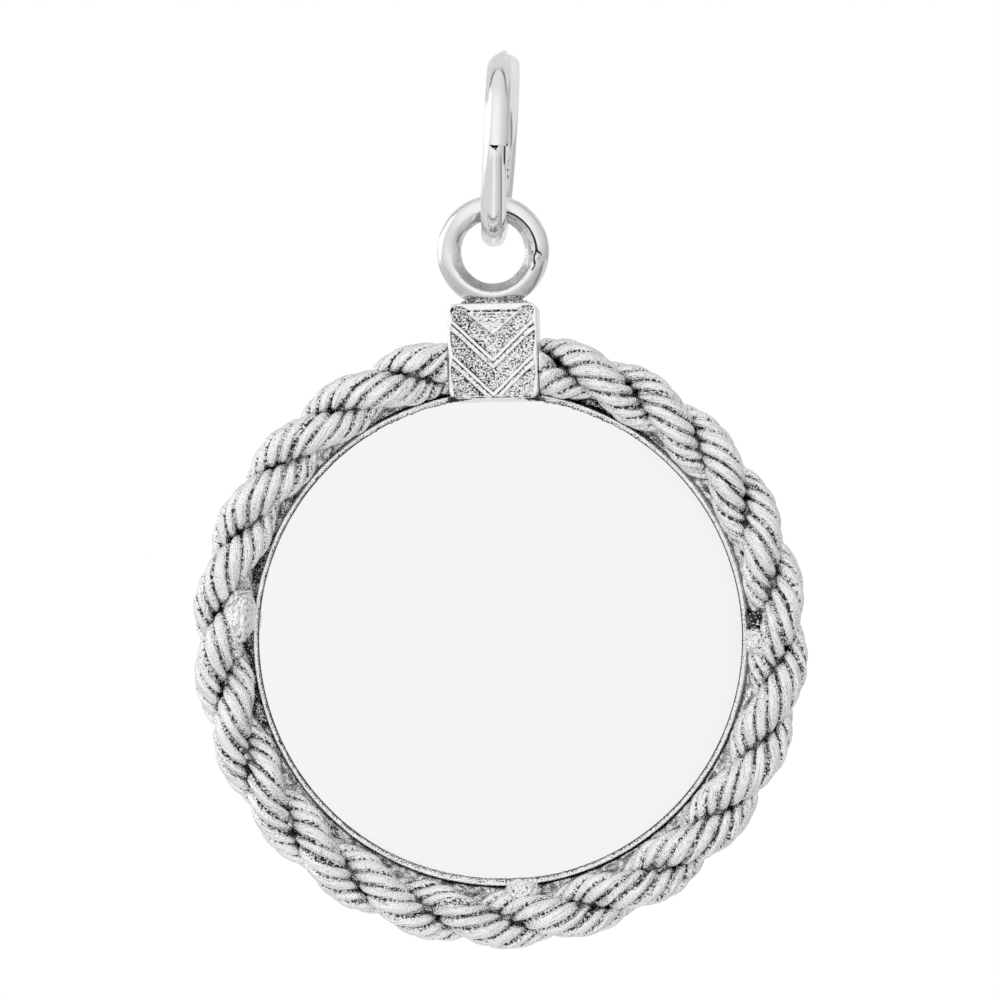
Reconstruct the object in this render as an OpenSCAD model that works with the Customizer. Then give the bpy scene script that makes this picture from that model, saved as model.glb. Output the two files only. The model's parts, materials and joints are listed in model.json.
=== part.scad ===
// Disc pendant: a polished blank disc in a bezel, a twisted rope border, a chevron tab
// with a closed eye ring, and a jump ring that it hangs from. Millimetres, +Z up, front to -Y.
// The origin is the inside top of the jump ring, where a chain or pin holds it.

/* [Jump ring] */
// Thickness of the jump ring's wire
ring_wire_d = 1.0; // [0.7:0.05:1.2]
// Inside diameter of the jump ring
ring_id = 5.7; // [5:0.1:7]
// Lean of the jump ring to its right as it hangs
ring_lean = 5; // [0:0.5:6]
// Turn of the jump ring about the vertical
ring_yaw = 0; // [-5:0.5:5]
// Cut in the jump ring, where it is opened, in degrees of its circle
ring_cut = 1.6; // [1:0.1:4]
// How far below its middle the jump ring is cut, in degrees of its circle
ring_cut_low = 3.5; // [0:0.5:20]

/* [Eye ring] */
// Thickness of the eye ring's wire
eye_wire_d = 0.95; // [0.8:0.05:1.1]
// Inside diameter of the eye ring
eye_id = 2.5; // [2.3:0.1:3]
// How deep the eye ring is let into the top of the tab
eye_sink = 0.12; // [0.1:0.01:0.3]
// Play between the eye ring and the jump ring that carries it
eye_play = 0.06; // [0.04:0.01:0.1]

/* [Chevron tab] */
// Width of the tab
tab_w = 3.48; // [3:0.02:4]
// Height of the tab
tab_h = 3.68; // [3.4:0.02:4.2]
// Front of the tab, ahead of the eye ring's middle
tab_front = 1.5; // [1.48:0.01:1.7]
// Rounding of the tab's outline
tab_corner = 0.3; // [0.1:0.05:0.5]
// Height of the ridges above the field of the tab
relief = 0.14; // [0.08:0.01:0.2]
// Width of one chevron ridge, measured upright
ridge = 0.16; // [0.12:0.01:0.24]
// Plain rim at the top of the tab
top_rim = 0.3; // [0.2:0.02:0.5]
// Plain rim at the sides and the foot of the tab
side_rim = 0.12; // [0.08:0.01:0.2]
// How far the tab's foot laps over the top edge of the disc
tab_lap = 0.07; // [0:0.01:0.1]

/* [Disc and bezel] */
// Diameter of the polished disc
disc_d = 18.92; // [18.6:0.02:18.92]
// Thickness of the disc
disc_t = 0.8; // [0.5:0.05:0.9]
// Thickness of the bezel wall
bezel_t = 0.17; // [0.15:0.01:0.17]
// How far the bezel wall stands ahead of the disc's face
bezel_lip = 0.2; // [0.1:0.05:0.3]
// Diameter of the back plate
plate_d = 22.4; // [21.8:0.1:22.8]
// Thickness of the back plate
plate_t = 0.6; // [0.4:0.05:0.9]
// Back of the plate, behind the eye ring's middle
plate_back = 1.4; // [1.3:0.05:1.6]

/* [Rope border] */
// Outside diameter over the rope
rope_od = 24.16; // [24.1:0.02:24.4]
// How far the middle of the rope lies above the middle of the disc
rope_rise = -0.05; // [-0.05:0.01:0.05]
// Distance of a strand's middle from the rope's middle
strand_lay = 0.6; // [0.58:0.01:0.6]
// Width of a strand for each millimetre of its depth, as the strands press each other flat
strand_press = 1.34; // [1.2:0.02:1.36]
// How much less that is on the inside of the rope
inner_ease = 0.36; // [0:0.02:0.4]
// How far towards the other strand a strand is widest
strand_flat = 0.12; // [0:0.01:0.12]
// Turns of the two strands round the rope in the whole circle
rope_turns = 11; // [9:1:13]
// Clockwise angle of the first outer lobe, from the top
first_lobe = 15.1; // [0:0.1:32]
// Uneven lay of the rope, in degrees of the circle
lay_drift = 1.2; // [0:0.1:2]
// Thickness of one of a strand's five wires
wire_d = 0.46; // [0.43:0.01:0.5]
// Backward turns of the wires for each turn of the strand round the rope
wire_turns = 2.9; // [2.2:0.1:3.2]

/* [Fits] */
// Gap that keeps loose pieces clear of each other
clear = 0.04; // [0.03:0.01:0.05]

/* [Hidden] */
$fn = 96;

silver = [0.86, 0.86, 0.87];
cast_silver = [0.74, 0.74, 0.75];
polished = [0.95, 0.95, 0.95];
worn = [0.66, 0.66, 0.67];

// The jump ring hangs from its inside top, and its lowest wire is the pin of the eye
ring_r = (ring_id + ring_wire_d) / 2;
pin_drop = ring_id / 2 + ring_r;
pin_x = -pin_drop * sin(ring_lean);
pin_z = -pin_drop * cos(ring_lean);

// Heights on the hanging pendant, from the pin down to the middle of the disc
eye_r = (eye_id + eye_wire_d) / 2;
eye_z = pin_z + ring_wire_d / 2 + eye_play - eye_id / 2;
tab_top = eye_z - eye_r - eye_wire_d / 2 + eye_sink;
disc_z = tab_top - tab_h + tab_lap - disc_d / 2;

// Depths: the rope lies on the plate and the disc lies in the bezel
plate_front = plate_back - plate_t;
disc_back = plate_front - clear;
bezel_r = disc_d / 2 + clear;
bezel_h = clear + disc_t + bezel_lip;
strand_r = strand_lay - clear / 2;
rope_r = rope_od / 2 - strand_lay - strand_r;
rope_y = plate_front - clear - strand_lay - strand_r;

// Solder pool under the eye ring
solder_foot = 1.35;
solder_top = 0.85;
solder_h = 0.28;

// Chevrons, as [distance below the tab's top at the sides, and at the middle]
chevrons = [[0.50, 2.12], [0.86, 2.42], [1.72, 3.45], [2.16, 3.85]];
// Raised triangle above them, as [half its width, distance of its point below the tab's top]
point = [1.16, 1.26];
overlap = 0.02;

// Section of a strand: the crown of each of five wires and the valley beside it
wires = 5;
wire_spots = [0, 180 / wires];
spots = wires * len(wire_spots);
rings = 260;
// The strands stop beside the tab, and within the fade their rings turn parallel to its sides
butt_angle = asin((tab_w / 2 + clear) / rope_r);
butt_fade = 8;
ring_step = (360 - 2 * butt_angle) / (rings - 1);
// Small step along the circle that gives a strand's direction
way_step = 0.05;

function unit(v) = v / norm(v);

// Directions on the border, t degrees clockwise from the top as seen from the front
function outward(t) = [sin(t), 0, cos(t)];

// Turn of strand k round the rope's middle: 0 is outermost and 90 is foremost
function strand_turn(t, k) = rope_turns * (t - first_lobe + lay_drift * sin(t)) + 180 * k;
function strand_side(t, k) =
    outward(t) * cos(strand_turn(t, k)) + [0, -1, 0] * sin(strand_turn(t, k));
function strand_middle(t, k) =
    outward(t) * rope_r + strand_side(t, k) * strand_lay + [0, rope_y, 0];
function strand_way(t, k) =
    unit(strand_middle(t + way_step, k) - strand_middle(t - way_step, k));

// Distance of the strand's skin from its middle, a degrees off the crown of a wire
function skin(a) =
    let (c = strand_r - wire_d / 2)
    c * cos(a) + sqrt(pow(wire_d / 2, 2) - pow(c * sin(a), 2));

// How far a ring is turned parallel to the tab's side: 1 beside the tab, 0 past the fade
function turned(t) = max(0, 1 - (min(t, 360 - t) - butt_angle) / butt_fade);

function strand_ring(t, k) =
    let (
        middle = strand_middle(t, k),
        way = strand_way(t, k),
        side = strand_side(t, k),
        press = strand_press + inner_ease * min(0, cos(strand_turn(t, k))),
        cross_side = cross(way, side) * press
    )
    [for (w = [0 : wires - 1], a = wire_spots)
        let (
            turn = w * 360 / wires + a - wire_turns * strand_turn(t, k),
            p = middle + skin(a) * (side * cos(turn) + cross_side * sin(turn))
                - side * strand_flat * pow(sin(turn), 2)
        )
        turned(t) == 0 ? p : p + way * turned(t) * (rope_r * sin(t) - p[0]) / way[0]];

module wire_ring(mid_r, wire) {
    rotate_extrude() translate([mid_r, 0]) circle(d = wire);
}

// Jump ring in the plane of Y and Z, with its cut towards the front
module jump_ring() {
    color(silver)
    rotate([0, ring_lean, 0]) rotate([0, 0, -ring_yaw])
    translate([0, 0, -ring_id / 2]) rotate([0, 90, 0])
    rotate([0, 0, 270 + ring_cut / 2 + ring_cut_low])
    rotate_extrude(angle = 360 - ring_cut) translate([ring_r, 0]) circle(d = ring_wire_d);
}

// Outline of the tab below its top edge, with round corners
module tab_outline() {
    half = tab_w / 2 - tab_corner;
    translate([-half, -tab_h]) square([2 * half, tab_h]);
    translate([-tab_w / 2, tab_corner - tab_h]) square([tab_w, tab_h - 2 * tab_corner]);
    for (x = [-half, half], y = [-tab_corner, tab_corner - tab_h])
        translate([x, y]) circle(r = tab_corner);
}

// Field of the tab inside its rims
module tab_field() {
    half = tab_w / 2 - side_rim;
    translate([-half, side_rim - tab_h]) square([2 * half, tab_h - top_rim - side_rim]);
}

module chevron(depths) {
    half = tab_w / 2;
    polygon([
        [-half, -depths[0]], [0, -depths[1]], [half, -depths[0]],
        [half, -depths[0] - ridge], [0, -depths[1] - ridge], [-half, -depths[0] - ridge]
    ]);
}

module tab_ridges() {
    intersection() {
        tab_outline();
        for (depths = chevrons) chevron(depths);
    }
    polygon([[-point[0], -top_rim + overlap], [point[0], -top_rim + overlap], [0, -point[1]]]);
}

// Tab with its relief on the front, drawn below its top edge and stood up at its place
module tab() {
    depth = tab_front + plate_back;
    translate([0, plate_back, tab_top]) rotate([90, 0, 0]) {
        difference() {
            linear_extrude(depth) tab_outline();
            translate([0, 0, depth - relief]) linear_extrude(relief + overlap) tab_field();
        }
        translate([0, 0, depth - relief - overlap]) linear_extrude(relief + overlap)
        tab_ridges();
    }
}

// Room for the disc and the gap all round it
module disc_room() {
    translate([0, plate_front, disc_z]) rotate([90, 0, 0])
    cylinder(r = bezel_r, h = disc_t + 2 * clear);
}

module setting() {
    color(cast_silver) translate([pin_x, 0, 0]) {
        translate([0, plate_back, disc_z]) rotate([90, 0, 0]) {
            cylinder(d = plate_d, h = plate_t);
            difference() {
                cylinder(r = bezel_r + bezel_t, h = plate_t + bezel_h);
                translate([0, 0, plate_t]) cylinder(r = bezel_r, h = bezel_h + overlap);
            }
        }
        difference() {
            tab();
            disc_room();
        }
        translate([0, 0, tab_top - overlap])
        cylinder(r1 = solder_foot, r2 = solder_top, h = solder_h);
        translate([0, 0, eye_z]) rotate([90, 0, 0]) wire_ring(eye_r, eye_wire_d);
    }
}

module disc() {
    color(polished)
    translate([pin_x, disc_back, disc_z]) rotate([90, 0, 0]) cylinder(d = disc_d, h = disc_t);
}

// One strand from the right side of the tab round to its left side
module strand(k) {
    points = [for (i = [0 : rings - 1]) each strand_ring(butt_angle + i * ring_step, k)];
    sides = [for (i = [0 : rings - 2], j = [0 : spots - 1])
        let (a = i * spots + j, b = i * spots + (j + 1) % spots)
        each [[a, b, b + spots], [a, b + spots, a + spots]]];
    first_end = [for (j = [0 : spots - 1]) spots - 1 - j];
    last_end = [for (j = [0 : spots - 1]) (rings - 1) * spots + j];
    translate([pin_x, 0, disc_z + rope_rise]) polyhedron(points, concat([first_end], sides, [last_end]));
}

module rope_strand_1() { color(cast_silver) strand(0); }
module rope_strand_2() { color(worn) strand(1); }

jump_ring();
setting();
disc();
rope_strand_1();
rope_strand_2();
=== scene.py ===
import json
from functools import partial
from math import asin, cos, pi, radians, sin

import bmesh
import bpy
import numpy as np
from mathutils import Matrix, Vector, noise


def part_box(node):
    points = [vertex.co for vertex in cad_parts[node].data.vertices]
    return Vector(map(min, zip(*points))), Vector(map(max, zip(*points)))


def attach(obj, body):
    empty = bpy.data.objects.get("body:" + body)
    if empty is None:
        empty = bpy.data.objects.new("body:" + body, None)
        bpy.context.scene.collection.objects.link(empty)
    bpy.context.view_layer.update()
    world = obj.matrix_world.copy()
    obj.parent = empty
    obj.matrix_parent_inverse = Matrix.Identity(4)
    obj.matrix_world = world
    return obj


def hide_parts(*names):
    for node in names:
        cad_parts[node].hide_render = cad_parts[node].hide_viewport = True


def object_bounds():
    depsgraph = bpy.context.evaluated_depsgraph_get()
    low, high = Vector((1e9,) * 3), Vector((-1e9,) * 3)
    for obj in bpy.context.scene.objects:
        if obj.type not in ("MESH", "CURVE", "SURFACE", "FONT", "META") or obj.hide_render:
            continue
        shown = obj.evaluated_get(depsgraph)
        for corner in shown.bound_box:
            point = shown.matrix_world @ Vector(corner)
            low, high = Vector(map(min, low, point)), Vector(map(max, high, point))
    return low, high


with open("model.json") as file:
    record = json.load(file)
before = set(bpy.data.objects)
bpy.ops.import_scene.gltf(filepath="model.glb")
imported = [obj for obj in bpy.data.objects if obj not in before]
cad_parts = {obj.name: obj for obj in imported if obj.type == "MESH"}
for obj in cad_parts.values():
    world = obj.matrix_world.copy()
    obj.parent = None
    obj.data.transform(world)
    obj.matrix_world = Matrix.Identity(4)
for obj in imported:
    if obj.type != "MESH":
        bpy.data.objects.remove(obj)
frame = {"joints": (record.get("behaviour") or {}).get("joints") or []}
cadLow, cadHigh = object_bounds()
mm = 0.001

# places that come from the frame, in millimetres
pin = Vector(frame["joints"][0]["pos_m"])
discLow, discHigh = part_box("disc")
settingLow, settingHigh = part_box("setting")
pinX = pin.x / mm
pinZ = pin.z / mm
middleX = (discLow.x + discHigh.x) / 2 / mm
discZ = (discLow.z + discHigh.z) / 2 / mm
discFace = discLow.y / mm
discRadius = (discHigh.x - discLow.x) / 2 / mm
tabFront = settingLow.y / mm
plateBack = settingHigh.y / mm


# node helpers

def plug(tree, socket, value):
    if isinstance(value, bpy.types.NodeSocket):
        tree.links.new(value, socket)
    else:
        socket.default_value = value


def addNode(tree, kind, inputs=None, **settings):
    node = tree.nodes.new(kind)
    for name, value in settings.items():
        setattr(node, name, value)
    for name, value in (inputs or {}).items():
        plug(tree, node.inputs[name], value)
    return node


def calc(tree, operation, *values):
    return addNode(tree, "ShaderNodeMath", dict(enumerate(values)), operation=operation).outputs[0]


def vec(tree, operation, first, second=None):
    node = addNode(tree, "ShaderNodeVectorMath", {0: first}, operation=operation)
    if second is not None:
        plug(tree, node.inputs["Scale" if operation == "SCALE" else 1], second)
    return node.outputs["Vector"]


def joinXYZ(tree, x=0.0, y=0.0, z=0.0):
    return addNode(tree, "ShaderNodeCombineXYZ", {"X": x, "Y": y, "Z": z}).outputs[0]


def splitXYZ(tree, vector):
    return addNode(tree, "ShaderNodeSeparateXYZ", {0: vector}).outputs


def noiseNode(tree, place, scale, detail=2.0):
    inputs = {"Vector": place, "Scale": scale, "Detail": detail}
    return addNode(tree, "ShaderNodeTexNoise", inputs).outputs["Fac"]


def ramp(tree, value, low, high, toLow=0.0, toHigh=1.0):
    # a smooth step from low to high
    inputs = {"Value": value, "From Min": low, "From Max": high, "To Min": toLow, "To Max": toHigh}
    return addNode(tree, "ShaderNodeMapRange", inputs, interpolation_type="SMOOTHSTEP").outputs["Result"]


def spread(tree, fac, low, high):
    # most of a noise lies between these two, and it becomes low to high
    return ramp(tree, fac, 0.3, 0.7, low, high)


def mixTone(tree, share, first, second):
    return addNode(tree, "ShaderNodeMix", {"Factor": share, "A": first, "B": second}).outputs["Result"]


def stored(tree, name, output="Fac"):
    return addNode(tree, "ShaderNodeAttribute", attribute_name=name).outputs[output]


def paint(tree, tone, **values):
    # gives the shader a grey tone and plain values
    shader = tree.nodes["Principled BSDF"]
    grey = addNode(tree, "ShaderNodeCombineColor", {"Red": tone, "Green": tone, "Blue": tone})
    plug(tree, shader.inputs["Base Color"], grey.outputs["Color"])
    for name, value in values.items():
        plug(tree, shader.inputs[name], value)


# mesh helpers, all in millimetres until newMesh

def smooth(value, low, high):
    # a soft step from 0 at low to 1 at high
    share = np.clip((value - low) / (high - low), 0, 1)
    return share * share * (3 - 2 * share)


def between(value, low, full, last, high):
    # 1 from full to last, and softly down to 0 at low and high
    return smooth(value, low, full) * (1 - smooth(value, last, high))


def hump(value, middle, width):
    return np.exp(-((value - middle) / width) ** 2)


def table(amounts, value):
    # reads a table of place: amount, straight between its places
    return np.interp(value, list(amounts), list(amounts.values()))


def noiseAt(points, size, seed):
    # soft noise from -1 to 1 at each point, with lumps of the given size
    shift = Vector((seed * 7.31, seed * 3.17, seed * 5.73))
    flat = np.asarray(points).reshape(-1, 3) / size
    values = np.array([noise.noise(Vector(point) + shift) for point in flat])
    return values.reshape(np.asarray(points).shape[:-1])


def flatReach(turn, facing, half):
    # how far a flat lies from a wire's middle, in its radii, at each angle round the wire
    return cos(half) / np.maximum(np.cos(turn - facing), 0.2)


def lathe(r, y, t):
    # points at distance r, turned clockwise by t as seen from the front
    return np.stack([r * np.sin(t), y + 0 * t, r * np.cos(t)], axis=-1)


def roundRim(radius, front, back, edge, turns):
    # profile of an outer rim, rounded in front and behind in steps
    turns = np.radians(turns)
    middle = radius - edge
    return ([(middle + edge * sin(a), front + edge - edge * cos(a)) for a in turns]
            + [(middle + edge * cos(a), back - edge + edge * sin(a)) for a in turns])


def gridFaces(index):
    # the faces between rows of numbered points
    corners = (index[:-1, :-1], index[:-1, 1:], index[1:, 1:], index[1:, :-1])
    return np.stack(corners, axis=-1).reshape(-1, 4).tolist()


def newMesh(name, points, faces, **tones):
    # hollow is how dark a place is made, by dirt and by painted shade, and shade how much darker painted
    # shade makes it
    mesh = bpy.data.meshes.new(name)
    mesh.from_pydata((points.reshape(-1, 3) * mm).tolist(), [], faces)
    for tone, values in tones.items():
        layer = mesh.attributes.new(tone, "FLOAT", "POINT")
        layer.data.foreach_set("value", np.asarray(values, np.float32).reshape(-1))
    return mesh


def skinMesh(name, rows, closeAlong=False, caps=False, **tones):
    # joins rings of points, rows[ring, point], into one closed skin
    count, spots = rows.shape[:2]
    index = np.arange(count * spots).reshape(count, spots)
    if closeAlong:
        index = np.vstack([index, index[:1]])
    faces = gridFaces(np.hstack([index, index[:, :1]]))
    if caps:
        faces += [index[0, ::-1].tolist(), index[-1].tolist()]
    tones = {tone: np.broadcast_to(values, (count, spots)) for tone, values in tones.items()}
    return newMesh(name, rows, faces, **tones)


def finishMesh(mesh):
    # merges doubles, turns the faces outwards and shades them smooth
    work = bmesh.new()
    work.from_mesh(mesh)
    bmesh.ops.remove_doubles(work, verts=work.verts, dist=1e-7)
    bmesh.ops.recalc_face_normals(work, faces=work.faces)
    if work.calc_volume(signed=True) < 0:
        bmesh.ops.reverse_faces(work, faces=work.faces)
    work.to_mesh(mesh)
    work.free()
    mesh.polygons.foreach_set("use_smooth", [True] * len(mesh.polygons))
    mesh.update()


def addPiece(name, mesh, finish, body, node):
    finishMesh(mesh)
    piece = bpy.data.objects.new(name, mesh)
    bpy.context.scene.collection.objects.link(piece)
    mesh.materials.clear()
    mesh.materials.append(materials[finish])
    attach(piece, body)
    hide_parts(node)
    print(name, len(mesh.polygons), "faces")


# silver finishes; all sizes are in metres on the piece

plain = {
    "cloudSize": 0.0012,
    "pores": 0.0,
    "poreSize": 0.0001,
    "speckle": 0.0,  # how many more pores there are in the hollows
    "streaks": 0.0,  # drawing marks along the wires
    "streakSize": 0.00007,
    "streakRelief": 0.8,
    "hollowDirtAndShade": 0.6,
    "darkStart": 0.12,  # less dirt and painted shade than this doesn't show
    "darkFull": 0.45,  # more than this is black
    # where hollow is below nothing, an edge is rubbed by wear, and it is smoother
    "rubbed": (-0.3, -0.05),
    "rubbedRough": 0.35,
}

finishes = {
    "polishedSilver": {**plain, "bright": 0.86, "cloud": 0.01, "deep": 0.06, "rough": 0.05,
                       "roughMore": 0.04, "grain": 0.0002, "bump": 0.02},
    "eyeSilver": {**plain, "bright": 0.86, "cloud": 0.02, "deep": 0.06, "rough": 0.09, "roughMore": 0.07,
                  "grain": 0.00015, "bump": 0.04, "pores": 0.15},
    "mirrorSilver": {**plain, "bright": 0.864, "cloud": 0.0, "deep": 0.1, "rough": 0.03, "roughMore": 0.02,
                     "grain": 0.0015, "bump": 0.001},
    "castSilver": {**plain, "bright": 0.99, "cloud": 0.06, "deep": 0.03, "rough": 0.14, "roughMore": 0.2,
                   "grain": 0.00008, "bump": 0.6, "pores": 1.5, "poreSize": 0.00006, "speckle": 1.0,
                   "darkStart": 0.06, "darkFull": 0.5},
    "ropeSilver": {**plain, "bright": 0.99, "cloud": 0.06, "deep": 0.05, "rough": 0.1, "roughMore": 0.18,
                   "grain": 0.00008, "bump": 0.9, "pores": 1.1, "poreSize": 0.00009, "speckle": 4.2,
                   "streaks": 0.9, "darkStart": 0.08, "darkFull": 0.55},
}


def silver(name):
    look = finishes[name]
    material = bpy.data.materials.new(name)
    material.use_nodes = True
    tree = material.node_tree
    c = partial(calc, tree)
    place = addNode(tree, "ShaderNodeTexCoord").outputs["Object"]
    fine = noiseNode(tree, place, 1 / look["grain"], 3.0)
    cloud = noiseNode(tree, place, 1 / look["cloudSize"], 4.0)
    tone = spread(tree, cloud, look["bright"] * (1 - look["cloud"]), look["bright"])
    # painted shade darkens the tone
    tone = c("MULTIPLY", tone, c("SUBTRACT", 1.0, stored(tree, "shade")))
    # dirt and painted shade lie in the hollows, and dirt in the pores of the skin
    hollow = stored(tree, "hollow")
    dirtAndShade = c("MULTIPLY", hollow, look["hollowDirtAndShade"])
    if look["pores"]:
        pores = c("SUBTRACT", noiseNode(tree, place, 1 / look["poreSize"]), 0.5)
        depth = c("MULTIPLY_ADD", c("MAXIMUM", hollow, 0.0), look["speckle"], look["pores"])
        dirtAndShade = c("MULTIPLY_ADD", pores, depth, dirtAndShade)
    if look["streaks"]:
        streaks = noiseNode(tree, stored(tree, "lay", "Vector"), 1 / look["streakSize"])
        streaks = c("SUBTRACT", streaks, 0.5)
        dirtAndShade = c("MULTIPLY_ADD", streaks, look["streaks"], dirtAndShade)
        fine = c("MULTIPLY_ADD", streaks, look["streakRelief"], fine)
    dirtAndShade = ramp(tree, dirtAndShade, look["darkStart"], look["darkFull"])
    rough = spread(tree, fine, look["rough"], look["rough"] + look["roughMore"])
    rough = c("MULTIPLY", rough, ramp(tree, hollow, *look["rubbed"], look["rubbedRough"], 1.0))
    relief = {"Height": fine, "Strength": look["bump"], "Distance": look["grain"]}
    relief = addNode(tree, "ShaderNodeBump", relief).outputs[0]
    paint(tree, mixTone(tree, dirtAndShade, tone, look["deep"]), Metallic=1.0, Roughness=rough, Normal=relief)
    return material


materials = {name: silver(name) for name in finishes}
print("finishes ready")


# camera: the photograph's view, with the disc's middle at its place in the frame

photo = {
    "pixelsPerMm": 25.54,
    "discX": 499.8,
    "discY": 638.4,
    "size": 1000,
    "azimuth": 3.0,  # degrees that the camera stands to the right
    "roll": 1.0,  # degrees by which the pendant hangs aslant in the photograph
    "lens": 150.0,
    "sensor": 36.0,
}


def towards(azimuth):
    return Vector((sin(radians(azimuth)), -cos(radians(azimuth)), 0))


def addCamera():
    data = bpy.data.cameras.new("camera")
    data.lens = photo["lens"]
    data.sensor_width = photo["sensor"]
    data.clip_start = 0.01
    data.clip_end = 10
    camera = bpy.data.objects.new("camera", data)
    bpy.context.scene.collection.objects.link(camera)
    bpy.context.scene.camera = camera
    toCamera = towards(photo["azimuth"])
    pixel = mm / photo["pixelsPerMm"]
    distance = pixel * photo["size"] * photo["lens"] / photo["sensor"]
    upright = Vector((0, 0, 1))
    level = upright.cross(toCamera)
    roll = radians(photo["roll"])
    right = level * cos(roll) - upright * sin(roll)
    up = level * sin(roll) + upright * cos(roll)
    aim = Vector((middleX * mm, discFace * mm, discZ * mm))
    aim -= right * (photo["discX"] - photo["size"] / 2) * pixel
    aim += up * (photo["discY"] - photo["size"] / 2) * pixel
    turn = Matrix((right, up, toCamera)).transposed().to_4x4()
    camera.matrix_world = Matrix.Translation(aim + toCamera * distance) @ turn


addCamera()


# studio: a white tent with grey screens, a broad soft lamp and a pale floor
# the tent's light is laid out by facing, which is the slope of polished metal that mirrors it to its front

tent = {
    "azimuth": 3.0,  # degrees that the tent's front is turned to the right
    "white": 1.0,
    "gain": 1.15,  # of the tent's own light over what the camera sees as white
    # tones from left to right, at facings above the middle, near the top and below the middle
    "upper": {0.0: 0.64, 0.035: 0.7, 0.05: 1.0, 0.14: 1.0, 0.17: 0.76, 0.2: 0.66, 0.24: 0.7, 0.3: 0.8,
              0.425: 0.91, 0.505: 0.91, 0.625: 0.82, 0.71: 0.7, 0.775: 0.64, 0.86: 0.58, 0.91: 0.46,
              0.96: 0.48, 1.0: 0.56},
    "high": {0.0: 0.64, 0.2: 0.72, 0.5: 0.76, 0.7: 0.66, 0.75: 0.5, 0.8: 0.54, 0.88: 0.6, 1.0: 0.58},
    "lower": {0.0: 0.43, 0.03: 0.38, 0.06: 0.6, 0.12: 0.67, 0.36: 0.67, 0.44: 0.71, 0.475: 0.83,
              0.505: 0.91, 0.55: 0.83, 0.59: 0.67, 0.66: 0.62, 0.75: 0.55, 0.795: 0.26, 0.825: 0.28,
              0.855: 0.71, 0.92: 0.75, 0.97: 0.6, 1.0: 0.46},
    # heights of facing over which one set of tones takes over from the other
    "toHigh": (0.4, 0.62),
    "toLower": (-0.06, -0.14),
    # an arch round the top of the tent, which is darkest at its feet, and the screen past it
    "top": (0.3, 0.45),
    "archReach": (0.745, 0.775),
    "archFeet": (0.1, 0.38, 0.3, 1.0),
    "archLine": 0.2,
    "screenReach": (0.79, 0.82),
    "screenTone": 0.66,
    "wallReach": (0.965, 0.985),  # the wall behind
    "wallTone": 0.72,
    "lampFacing": (-0.64, -0.73, 0.25),
    "lampStrength": 0.26,
    "lampAngle": 50.0,
    "floorDrop": 0.045,  # from the pendant's foot
    "floorRadius": 0.3,
    "floorSides": 96,
    "floorTone": (0.83, 0.85),
    "floorRough": 0.8,
    "floorClouds": 40.0,
}
tentFront = towards(tent["azimuth"])


def stripes(tree, value, stops):
    node = addNode(tree, "ShaderNodeValToRGB", {"Fac": value})
    line = node.color_ramp
    while len(line.elements) < len(stops):
        line.elements.new(0.5)
    for element, (position, tone) in zip(line.elements, stops.items()):
        element.position = position
        element.color = (tone, tone, tone, 1)
    return node.outputs["Color"]


def addTent():
    world = bpy.data.worlds.new("tent")
    bpy.context.scene.world = world
    world.use_nodes = True
    tree = world.node_tree
    c = partial(calc, tree)
    way = addNode(tree, "ShaderNodeTexCoord").outputs["Generated"]
    facing = splitXYZ(tree, vec(tree, "NORMALIZE", vec(tree, "ADD", way, tuple(tentFront))))
    x, z = facing["X"], facing["Z"]
    share = c("MULTIPLY_ADD", x, 0.5, 0.5)
    tone = mixTone(tree, ramp(tree, z, *tent["toHigh"]), stripes(tree, share, tent["upper"]),
                   stripes(tree, share, tent["high"]))
    tone = mixTone(tree, ramp(tree, z, *tent["toLower"]), tone, stripes(tree, share, tent["lower"]))
    reach = c("SQRT", c("MULTIPLY_ADD", x, x, c("MULTIPLY", z, z)))
    top = ramp(tree, z, *tent["top"])
    arch = c("MULTIPLY", ramp(tree, reach, *tent["archReach"]), top)
    arch = c("MULTIPLY", arch, ramp(tree, c("ABSOLUTE", x), *tent["archFeet"]))
    screen = c("MULTIPLY", ramp(tree, reach, *tent["screenReach"]), top)
    tone = mixTone(tree, arch, tone, tent["archLine"])
    tone = mixTone(tree, screen, tone, tent["screenTone"])
    tone = mixTone(tree, ramp(tree, reach, *tent["wallReach"]), tone, tent["wallTone"])
    seen = addNode(tree, "ShaderNodeLightPath").outputs["Is Camera Ray"]
    tone = mixTone(tree, seen, c("MULTIPLY", tone, tent["gain"]), tent["white"])
    background = tree.nodes["Background"]
    plug(tree, background.inputs["Strength"], tone)
    background.inputs["Color"].default_value = (1, 1, 1, 1)


def addLamp():
    # metal that faces lampFacing mirrors it to the tent's front
    facing = Vector(tent["lampFacing"]).normalized()
    toLamp = facing * (2 * facing.dot(tentFront)) - tentFront
    data = bpy.data.lights.new("lamp", "SUN")
    data.energy = tent["lampStrength"]
    data.angle = radians(tent["lampAngle"])
    lamp = bpy.data.objects.new("lamp", data)
    lamp.rotation_euler = toLamp.to_track_quat("Z", "Y").to_euler()
    bpy.context.scene.collection.objects.link(lamp)


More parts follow.
